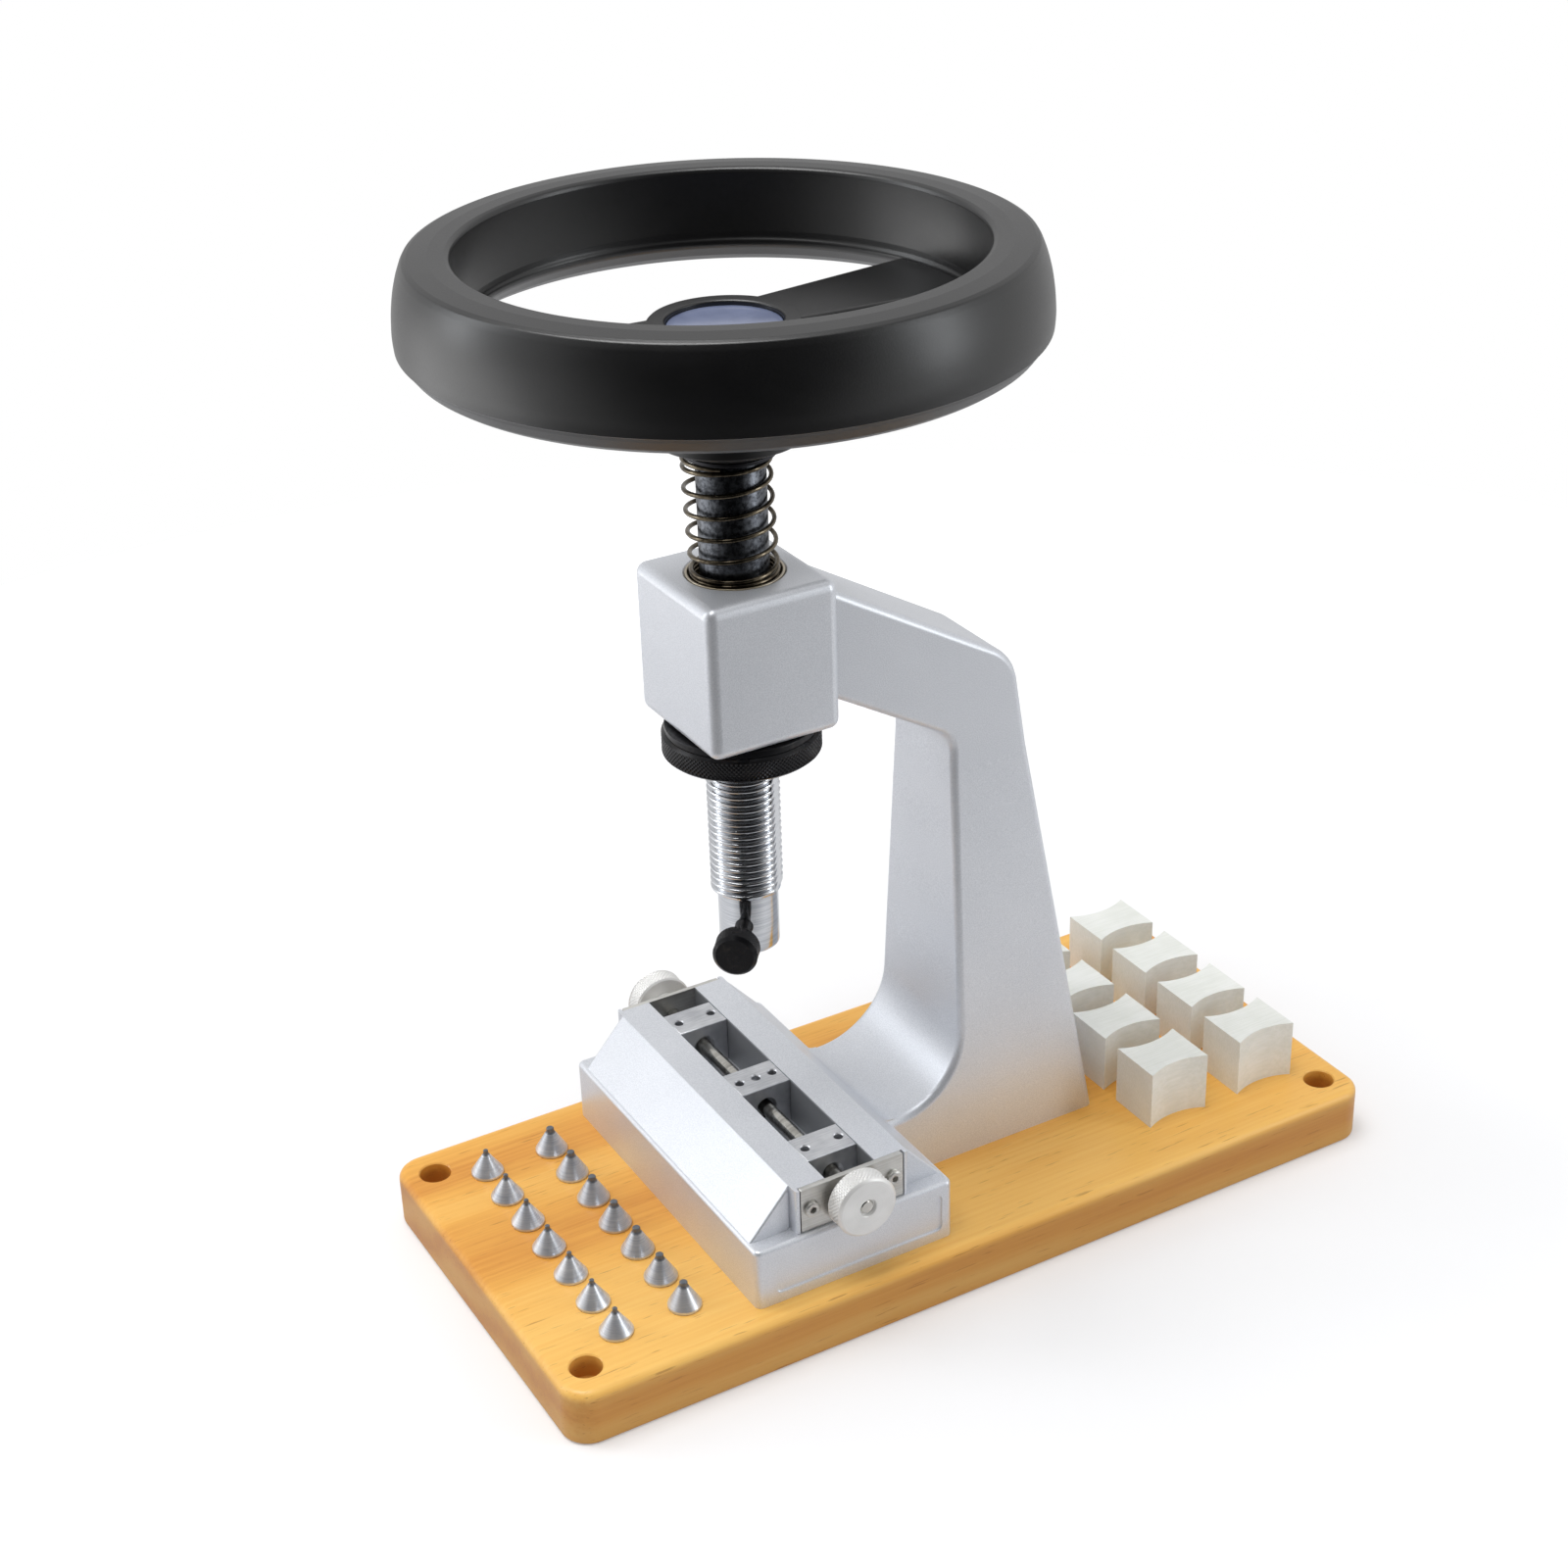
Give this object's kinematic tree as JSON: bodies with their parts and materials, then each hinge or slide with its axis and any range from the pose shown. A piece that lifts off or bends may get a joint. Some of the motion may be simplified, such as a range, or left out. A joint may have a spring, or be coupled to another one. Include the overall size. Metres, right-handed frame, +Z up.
{
  "type": "watch case opener press",
  "caption": "Hand press on a wooden base: sprung spindle with handwheel and stop nut above a self-centring vise, with holder blocks and bits.",
  "frame": {"origin": "centre of the wooden base's underside", "axes": "+Z up, along the spindle; +Y from the vise towards the column and the holder blocks; +X along the vise screw"},
  "size_m": [0.16, 0.264, 0.2911],
  "materials": {
    "wood": "varnished",
    "silver_paint": "fine silver paint",
    "black_plastic": "satin black",
    "black_metal": "black, knurled edge",
    "spindle_steel": "turned, bright thread",
    "spring_steel": "oiled wire",
    "bronze": "turned",
    "brass": "turned",
    "fastener": "plain",
    "nickel": "bright plated",
    "jaw_metal": "milled, satin",
    "bit_steel": "bright",
    "nylon": "off-white, cut faces",
    "cap_gloss": "glossy"
  },
  "bodies": {
    "frame": {"wooden_base": "wood", "frame_casting": "silver_paint", "casting_screws": "fastener", "head_bush": "bronze", "return_spring": "spring_steel", "end_plate_left": "nickel", "end_plate_right": "nickel", "plate_screws": "fastener", "centre_block": "jaw_metal", "centre_block_screws": "fastener"},
    "press": {"thrust_washer": "fastener"},
    "spindle": {"spindle": "spindle_steel", "handwheel": "black_plastic", "wheel_key": "fastener", "hub_nut": "fastener", "hub_cap": "cap_gloss"},
    "stop_washer": {"stop_washer": "black_metal"},
    "ring_nut": {"ring_nut": "black_metal"},
    "lock_pad": {"lock_pad": "brass"},
    "lock_screw": {"lock_screw": "fastener", "lock_knob": "black_metal"},
    "vise_screw": {"vise_screw": "nickel", "vise_knob_left": "nickel", "vise_knob_right": "nickel"},
    "jaw_left": {"jaw_left": "jaw_metal"},
    "jaw_right": {"jaw_right": "jaw_metal"},
    "holder_1": {"holder_block_1": "nylon", "block_pins_1": "bit_steel"},
    "holder_2": {"holder_block_2": "nylon", "block_pins_2": "bit_steel"},
    "holder_3": {"holder_block_3": "nylon", "block_pins_3": "bit_steel"},
    "holder_4": {"holder_block_4": "nylon", "block_pins_4": "bit_steel"},
    "holder_5": {"holder_block_5": "nylon", "block_pins_5": "bit_steel"},
    "holder_6": {"holder_block_6": "nylon", "block_pins_6": "bit_steel"},
    "holder_7": {"holder_block_7": "nylon", "block_pins_7": "bit_steel"},
    "holder_8": {"holder_block_8": "nylon", "block_pins_8": "bit_steel"},
    "bit_1": {"bit_1": "bit_steel"},
    "bit_2": {"bit_2": "bit_steel"},
    "bit_3": {"bit_3": "bit_steel"},
    "bit_4": {"bit_4": "bit_steel"},
    "bit_5": {"bit_5": "bit_steel"},
    "bit_6": {"bit_6": "bit_steel"},
    "bit_7": {"bit_7": "bit_steel"},
    "bit_8": {"bit_8": "bit_steel"},
    "bit_9": {"bit_9": "bit_steel"},
    "bit_10": {"bit_10": "bit_steel"},
    "bit_11": {"bit_11": "bit_steel"},
    "bit_12": {"bit_12": "bit_steel"},
    "bit_13": {"bit_13": "bit_steel"},
    "bit_14": {"bit_14": "bit_steel"}
  },
  "joints": [
    {"name": "press_slide", "type": "slide", "parent": "frame", "child": "press", "axis": [0, 0, 1], "range_m": [-0.02, 0], "stiffness_N_per_m": 400, "springref_m": 0.025, "deforming": ["return_spring"]},
    {"name": "spindle_spin", "type": "hinge", "parent": "press", "child": "spindle", "pos_m": [0, -0.0425, 0.2], "axis": [0, 0, 1], "continuous": true},
    {"name": "stop_slide", "type": "slide", "parent": "spindle", "child": "stop_washer", "axis": [0, 0, 1], "range_m": [-0.042, 0]},
    {"name": "nut_turn", "type": "hinge", "parent": "stop_washer", "child": "ring_nut", "pos_m": [0, -0.0425, 0.158], "axis": [0, 0, 1], "range_deg": [-7560, 0]},
    {"name": "lock_slide", "type": "slide", "parent": "spindle", "child": "lock_pad", "axis": [0.7826, -0.6225, 0], "range_m": [-0.001, 0.0016]},
    {"name": "lock_turn", "type": "hinge", "parent": "lock_pad", "child": "lock_screw", "pos_m": [0, -0.0425, 0.104], "axis": [0.7826, -0.6225, 0], "range_deg": [-450, 720]},
    {"name": "vise_turn", "type": "hinge", "parent": "frame", "child": "vise_screw", "pos_m": [0, -0.0425, 0.0426], "axis": [1, 0, 0], "range_deg": [-12600, 3600]},
    {"name": "jaw_left_slide", "type": "slide", "parent": "frame", "child": "jaw_left", "axis": [1, 0, 0], "range_m": [-0.007, 0.0245]},
    {"name": "jaw_right_slide", "type": "slide", "parent": "frame", "child": "jaw_right", "axis": [1, 0, 0], "range_m": [-0.0245, 0.007]},
    {"name": "holder_1_lift", "type": "slide", "parent": "frame", "child": "holder_1", "axis": [0, 0, 1], "range_m": [0, 0.03]},
    {"name": "holder_2_lift", "type": "slide", "parent": "frame", "child": "holder_2", "axis": [0, 0, 1], "range_m": [0, 0.03]},
    {"name": "holder_3_lift", "type": "slide", "parent": "frame", "child": "holder_3", "axis": [0, 0, 1], "range_m": [0, 0.03]},
    {"name": "holder_4_lift", "type": "slide", "parent": "frame", "child": "holder_4", "axis": [0, 0, 1], "range_m": [0, 0.03]},
    {"name": "holder_5_lift", "type": "slide", "parent": "frame", "child": "holder_5", "axis": [0, 0, 1], "range_m": [0, 0.03]},
    {"name": "holder_6_lift", "type": "slide", "parent": "frame", "child": "holder_6", "axis": [0, 0, 1], "range_m": [0, 0.03]},
    {"name": "holder_7_lift", "type": "slide", "parent": "frame", "child": "holder_7", "axis": [0, 0, 1], "range_m": [0, 0.03]},
    {"name": "holder_8_lift", "type": "slide", "parent": "frame", "child": "holder_8", "axis": [0, 0, 1], "range_m": [0, 0.03]},
    {"name": "bit_1_lift", "type": "slide", "parent": "frame", "child": "bit_1", "axis": [0, 0, 1], "range_m": [0, 0.02]},
    {"name": "bit_2_lift", "type": "slide", "parent": "frame", "child": "bit_2", "axis": [0, 0, 1], "range_m": [0, 0.02]},
    {"name": "bit_3_lift", "type": "slide", "parent": "frame", "child": "bit_3", "axis": [0, 0, 1], "range_m": [0, 0.02]},
    {"name": "bit_4_lift", "type": "slide", "parent": "frame", "child": "bit_4", "axis": [0, 0, 1], "range_m": [0, 0.02]},
    {"name": "bit_5_lift", "type": "slide", "parent": "frame", "child": "bit_5", "axis": [0, 0, 1], "range_m": [0, 0.02]},
    {"name": "bit_6_lift", "type": "slide", "parent": "frame", "child": "bit_6", "axis": [0, 0, 1], "range_m": [0, 0.02]},
    {"name": "bit_7_lift", "type": "slide", "parent": "frame", "child": "bit_7", "axis": [0, 0, 1], "range_m": [0, 0.02]},
    {"name": "bit_8_lift", "type": "slide", "parent": "frame", "child": "bit_8", "axis": [0, 0, 1], "range_m": [0, 0.02]},
    {"name": "bit_9_lift", "type": "slide", "parent": "frame", "child": "bit_9", "axis": [0, 0, 1], "range_m": [0, 0.02]},
    {"name": "bit_10_lift", "type": "slide", "parent": "frame", "child": "bit_10", "axis": [0, 0, 1], "range_m": [0, 0.02]},
    {"name": "bit_11_lift", "type": "slide", "parent": "frame", "child": "bit_11", "axis": [0, 0, 1], "range_m": [0, 0.02]},
    {"name": "bit_12_lift", "type": "slide", "parent": "frame", "child": "bit_12", "axis": [0, 0, 1], "range_m": [0, 0.02]},
    {"name": "bit_13_lift", "type": "slide", "parent": "frame", "child": "bit_13", "axis": [0, 0, 1], "range_m": [0, 0.02]},
    {"name": "bit_14_lift", "type": "slide", "parent": "frame", "child": "bit_14", "axis": [0, 0, 1], "range_m": [0, 0.02]}
  ],
  "couplings": [
    {"joint": "stop_slide", "follows": "nut_turn", "m_per_rad": 0.00031831},
    {"joint": "lock_turn", "follows": "lock_slide", "rad_per_m": 7853.9},
    {"joint": "jaw_right_slide", "follows": "vise_turn", "m_per_rad": 0.0001114},
    {"joint": "jaw_left_slide", "follows": "vise_turn", "m_per_rad": -0.0001114}
  ]
}
